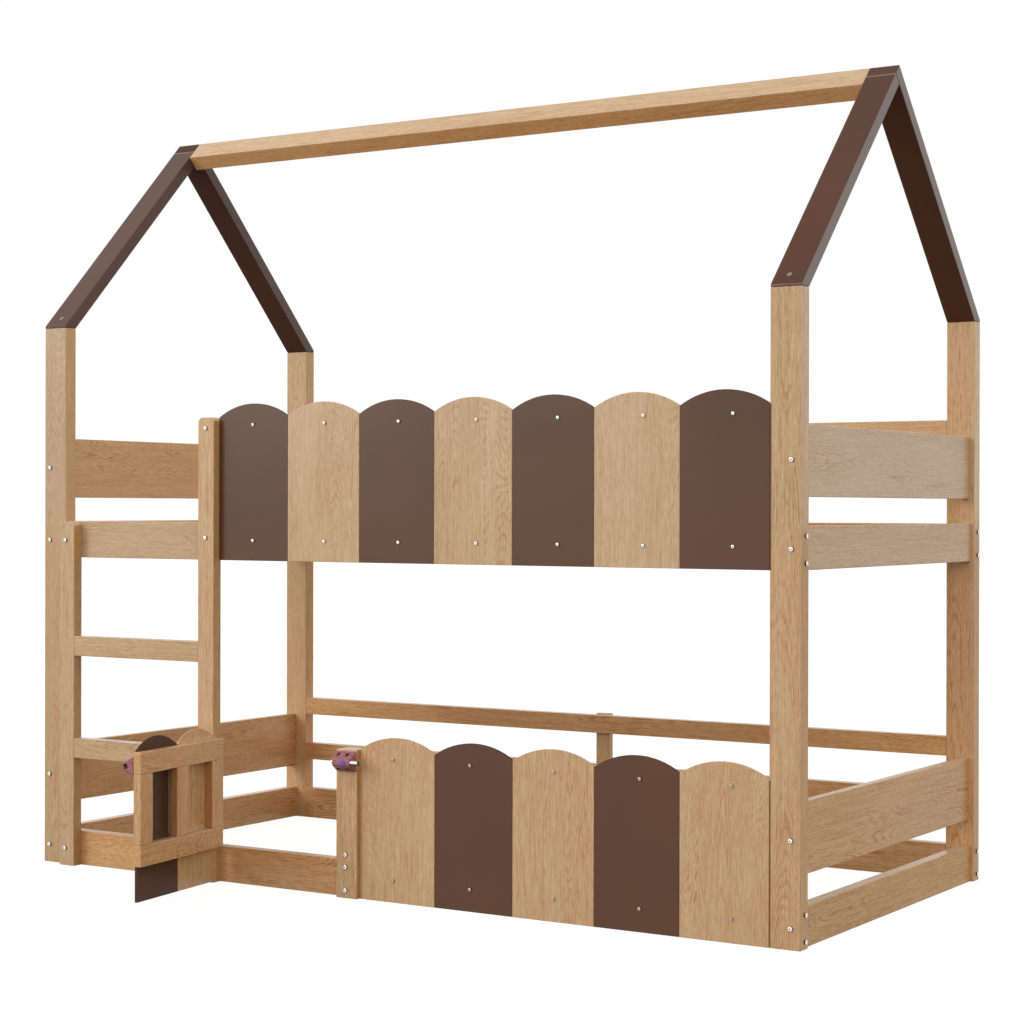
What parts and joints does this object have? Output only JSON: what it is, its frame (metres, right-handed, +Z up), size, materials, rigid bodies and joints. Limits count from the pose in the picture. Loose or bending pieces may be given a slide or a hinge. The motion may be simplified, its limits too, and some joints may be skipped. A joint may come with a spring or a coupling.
{
  "type": "bunk bed",
  "caption": "House-frame bunk bed for children with a slatted upper bunk, open floor-level lower bunk, ladder, scalloped front panels and a hinged gate with a sliding bolt.",
  "frame": {"origin": "middle of the whole box on the floor, with the gate open as stored", "axes": "+X along the bed from the ladder end to the panel end, +Y from the front to the back, +Z up"},
  "size_m": [2.08, 1.3944, 1.8724],
  "materials": {
    "oak": "light oak, satin lacquer",
    "brown_paint": "chocolate brown paint, satin",
    "mauve_plastic": "moulded, fine matte",
    "violet_plastic": "gloss",
    "steel": "bright, lightly brushed"
  },
  "bodies": {
    "bed_frame": {"post_front_left": "oak", "post_front_right": "oak", "post_back_left": "oak", "post_back_right": "oak", "rafter_front_left": "brown_paint", "rafter_front_right": "brown_paint", "rafter_back_left": "brown_paint", "rafter_back_right": "brown_paint", "ridge_beam": "oak", "upper_rail_front": "oak", "upper_rail_back": "oak", "upper_rail_left": "oak", "upper_rail_right": "oak", "upper_guard_left": "oak", "upper_guard_right": "oak", "upper_guard_back": "oak", "upper_batten": "oak", "upper_panel_1": "brown_paint", "upper_panel_2": "oak", "upper_panel_3": "brown_paint", "upper_panel_4": "oak", "upper_panel_5": "brown_paint", "upper_panel_6": "oak", "upper_panel_7": "brown_paint", "slat_mat": "oak", "ladder_upright_left": "oak", "ladder_upright_right": "oak", "ladder_rung_1": "oak", "ladder_rung_2": "oak", "lower_rail_front": "oak", "lower_rail_back": "oak", "lower_rail_left": "oak", "lower_rail_right": "oak", "lower_guard_left": "oak", "lower_guard_right": "oak", "back_thin_rail_1": "oak", "back_thin_rail_2": "oak", "back_centre_post": "oak", "lower_batten": "oak", "lower_panel_1": "oak", "lower_panel_2": "brown_paint", "lower_panel_3": "oak", "lower_panel_4": "brown_paint", "lower_panel_5": "oak", "latch_post": "oak", "lock_body": "mauve_plastic", "hinge_lower_fixed_leaf": "steel", "hinge_upper_fixed_leaf": "steel"},
    "gate": {"gate_rail_bottom": "oak", "gate_rail_top": "oak", "gate_hinge_stile": "oak", "gate_mullion": "oak", "gate_latch_stile": "oak", "gate_panel_1": "oak", "gate_panel_2": "brown_paint", "gate_catch": "mauve_plastic", "hinge_lower_gate_leaf": "steel", "hinge_upper_gate_leaf": "steel"},
    "bolt": {"lock_bolt": "steel"},
    "button": {"lock_button": "violet_plastic"}
  },
  "joints": [
    {"name": "gate_hinge", "type": "hinge", "parent": "bed_frame", "child": "gate", "pos_m": [-0.47195, -0.35594, 0.217], "axis": [0, 0, 1], "range_deg": [-92.4, 82.6]},
    {"name": "bolt_slide", "type": "slide", "parent": "bed_frame", "child": "bolt", "axis": [-1, 0, 0], "range_m": [0, 0.025]},
    {"name": "button_press", "type": "slide", "parent": "bed_frame", "child": "button", "axis": [0, 1, 0], "range_m": [0, 0.0015], "stiffness_N_per_m": 1500}
  ]
}
